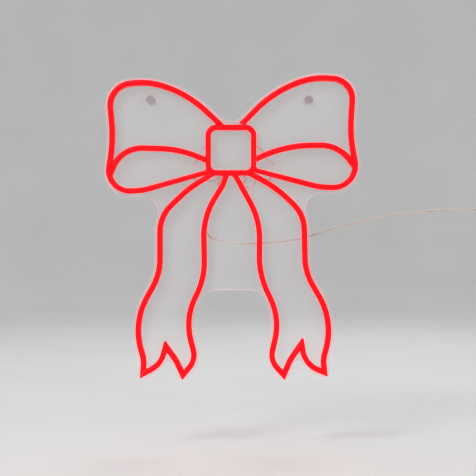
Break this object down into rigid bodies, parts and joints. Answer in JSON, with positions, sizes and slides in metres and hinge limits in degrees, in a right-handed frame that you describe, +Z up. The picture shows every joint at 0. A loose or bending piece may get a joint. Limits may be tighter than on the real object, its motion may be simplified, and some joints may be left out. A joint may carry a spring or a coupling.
{
  "type": "illuminated wall sign",
  "caption": "Red LED neon-flex wall sign in the shape of a ribbon bow, on a clear contour-cut plate with standoff wall fixings and a low-voltage lead.",
  "frame": {"origin": "on the face of the wall, midway between the two wall fixings", "axes": "+Z up, -Y out of the wall towards the viewer, +X to the viewer's right"},
  "size_m": [0.5922, 0.0398, 0.447],
  "materials": {
    "lit_silicone": "satin",
    "end_silicone": "satin",
    "clear_acrylic": "polished",
    "strip_board": "satin",
    "led_chip": "gloss",
    "wire_insulation": "satin",
    "fixing_metal": "brushed",
    "soft_washer": "matte",
    "clear_cable": "gloss",
    "gland_silicone": "satin",
    "tie_plastic": "matte",
    "hook_plastic": "gloss",
    "adhesive_foam": "matte",
    "switch_plastic": "satin",
    "rocker_plastic": "gloss",
    "pin_steel": "polished",
    "contact_brass": "satin",
    "plug_plastic": "satin",
    "plug_metal": "polished"
  },
  "bodies": {
    "sign": {"backing_plate": "clear_acrylic", "knot_tube": "lit_silicone", "left_loop_tube": "lit_silicone", "right_loop_tube": "lit_silicone", "left_fold_tube": "lit_silicone", "right_fold_tube": "lit_silicone", "left_tail_outer_tube": "lit_silicone", "left_notch_outer_tube": "lit_silicone", "left_notch_inner_tube": "lit_silicone", "left_tail_inner_tube": "lit_silicone", "right_tail_inner_tube": "lit_silicone", "right_notch_inner_tube": "lit_silicone", "right_notch_outer_tube": "lit_silicone", "right_tail_outer_tube": "lit_silicone", "knot_led_strip": "strip_board", "left_loop_led_strip": "strip_board", "right_loop_led_strip": "strip_board", "left_fold_led_strip": "strip_board", "right_fold_led_strip": "strip_board", "left_tail_led_strip": "strip_board", "right_tail_led_strip": "strip_board", "led_chips": "led_chip", "tube_end_caps": "end_silicone", "jumper_wires": "wire_insulation", "left_standoff_barrel": "fixing_metal", "left_rear_washer": "soft_washer", "left_front_washer": "soft_washer", "right_standoff_barrel": "fixing_metal", "right_rear_washer": "soft_washer", "right_front_washer": "soft_washer", "lead_gland": "gland_silicone", "power_lead": "clear_cable", "lead_coil": "clear_cable", "coil_tie": "tie_plastic", "hook_base": "hook_plastic", "hook_pad": "adhesive_foam", "switch_lead": "clear_cable", "switch_shell_back": "switch_plastic", "switch_shell_front": "switch_plastic", "rocker_pin": "pin_steel", "switch_contacts": "contact_brass", "plug_lead": "clear_cable", "plug_grip": "plug_plastic", "plug_barrel": "plug_metal"},
    "left_cap": {"left_standoff_cap": "fixing_metal"},
    "right_cap": {"right_standoff_cap": "fixing_metal"},
    "rocker": {"switch_rocker": "rocker_plastic"}
  },
  "joints": [
    {"name": "left_cap_unscrews", "type": "slide", "parent": "sign", "child": "left_cap", "axis": [0, -1, 0], "range_m": [0, 0.009]},
    {"name": "right_cap_unscrews", "type": "slide", "parent": "sign", "child": "right_cap", "axis": [0, -1, 0], "range_m": [0, 0.009]},
    {"name": "switch_rocks", "type": "hinge", "parent": "sign", "child": "rocker", "pos_m": [0.401, -0.0105, -0.246], "axis": [1, 0, 0], "range_deg": [-18, 0]}
  ]
}
